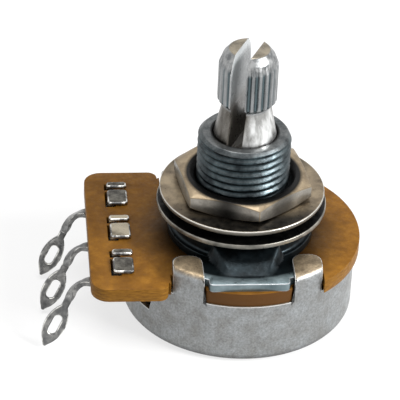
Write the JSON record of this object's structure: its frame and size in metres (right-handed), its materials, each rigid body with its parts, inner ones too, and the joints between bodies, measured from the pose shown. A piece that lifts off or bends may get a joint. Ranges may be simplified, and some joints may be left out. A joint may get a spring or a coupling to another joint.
{
  "type": "rotary potentiometer",
  "caption": "Panel-mount rotary potentiometer: round metal can, phenolic wafer with an ear of solder lugs, threaded bushing with nut and washers, and a split splined shaft.",
  "frame": {"origin": "centre of the can's flat bottom, on the shaft's axis", "axes": "+Z along the shaft, away from the can; the ear with the solder lugs points towards -X"},
  "size_m": [0.0332, 0.024, 0.0299],
  "materials": {
    "can_steel": "dull tin plate over steel, mottled and lightly scratched",
    "phenolic": "satin brown laminate with a paper grain",
    "plate_steel": "dark zinc plate, satin",
    "bushing_metal": "zinc-plated brass, dull grey",
    "shaft_metal": "turned, satin with bright edges",
    "spring_steel": "plain spring steel",
    "black_plastic": "moulded, matt",
    "spring_bronze": "bare spring bronze",
    "carbon_print": "printed carbon, matt",
    "silver_print": "printed silver, satin",
    "tinned_brass": "dull tin plate with bright spots",
    "washer_steel": "nickel plate, warm grey",
    "nut_steel": "nickel plate, warm grey with bright edges"
  },
  "bodies": {
    "housing": {"can": "can_steel", "wafer": "phenolic", "bushing_plate": "plate_steel", "threaded_bushing": "bushing_metal", "resistance_track": "carbon_print", "track_end_pads": "silver_print", "collector_ring": "silver_print", "terminal_left": "tinned_brass", "terminal_centre": "tinned_brass", "terminal_right": "tinned_brass", "lock_washer": "washer_steel", "flat_washer": "washer_steel", "hex_nut": "nut_steel"},
    "rotor": {"shaft": "shaft_metal", "retaining_ring": "spring_steel", "rotor_driver": "black_plastic", "wiper_contact": "spring_bronze"}
  },
  "joints": [
    {"name": "shaft_turn", "type": "hinge", "parent": "housing", "child": "rotor", "pos_m": [0, 0, 0.015], "axis": [0, 0, 1], "range_deg": [-150, 150]}
  ]
}
